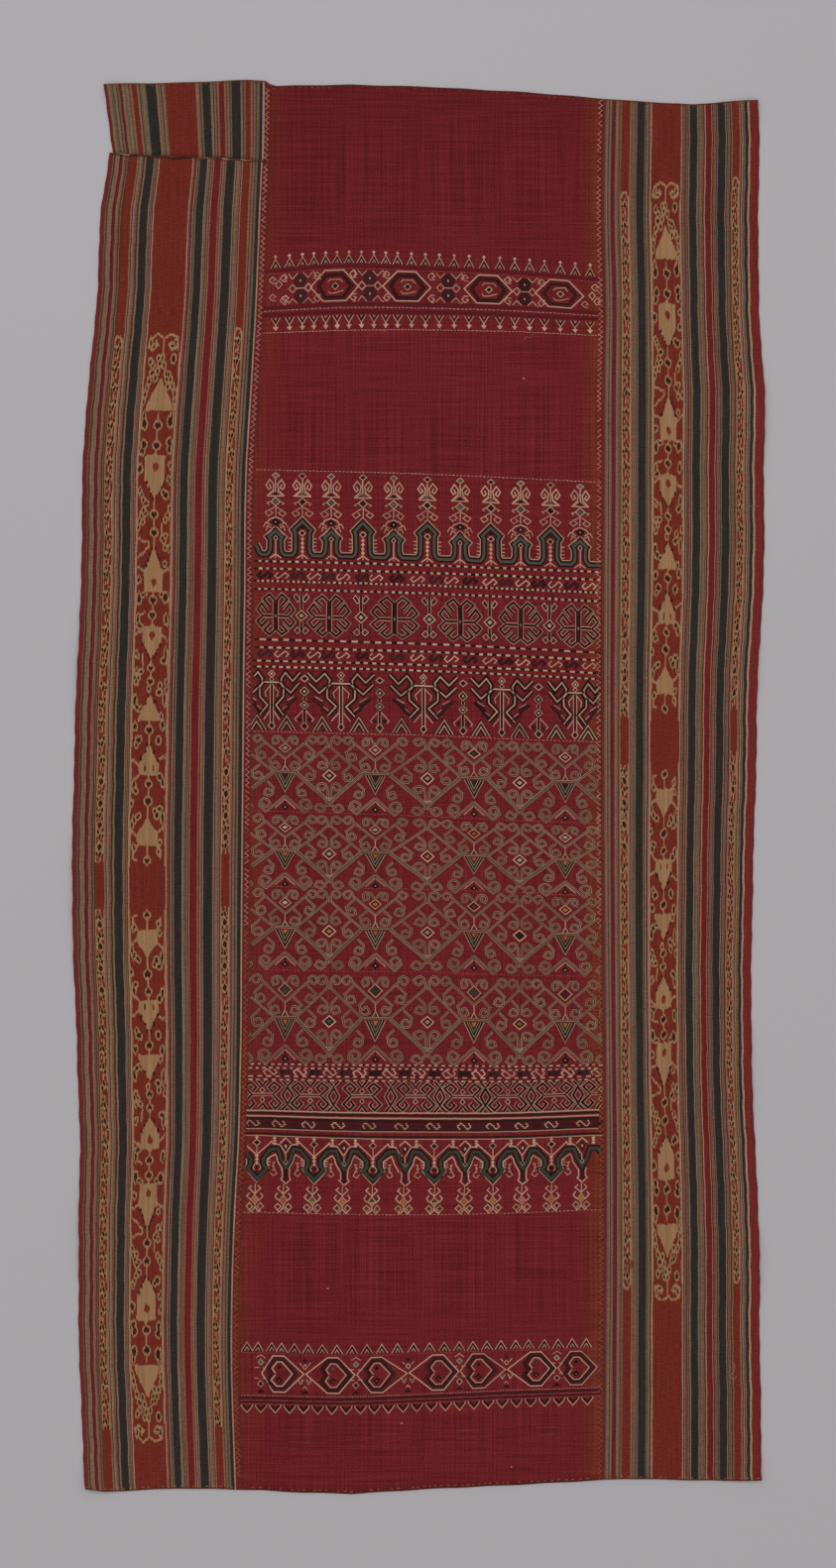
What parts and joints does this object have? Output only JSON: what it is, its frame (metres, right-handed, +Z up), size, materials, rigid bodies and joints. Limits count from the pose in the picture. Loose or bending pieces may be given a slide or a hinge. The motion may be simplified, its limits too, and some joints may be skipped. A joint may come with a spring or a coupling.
{
  "type": "three-panel ceremonial cloth",
  "caption": "Three-panel handwoven ceremonial cloth: red patterned centre, warp-striped ikat side panels, a short length joined on at one corner, laid flat.",
  "frame": {"origin": "on the surface the cloth lies on, under the middle of the cloth's box", "axes": "+X across the width to the cloth's right, +Y along the warp to its top end, +Z up out of its face"},
  "size_m": [1.012, 2.0676, 0.0054],
  "materials": {
    "ikat_cotton": "matte handspun cotton, warp stripes of red, tan and near-black with three warp-ikat stripes",
    "striped_cotton": "matte handspun cotton, warp stripes of dark red, tan and near-black",
    "red_cotton": "matte handspun cotton in madder red, with cream, black, green and purple patterning yarns"
  },
  "bodies": {
    "root": {"left_panel": "ikat_cotton", "left_top_piece": "striped_cotton", "centre_panel": "red_cotton", "right_panel": "ikat_cotton"}
  },
  "joints": []
}
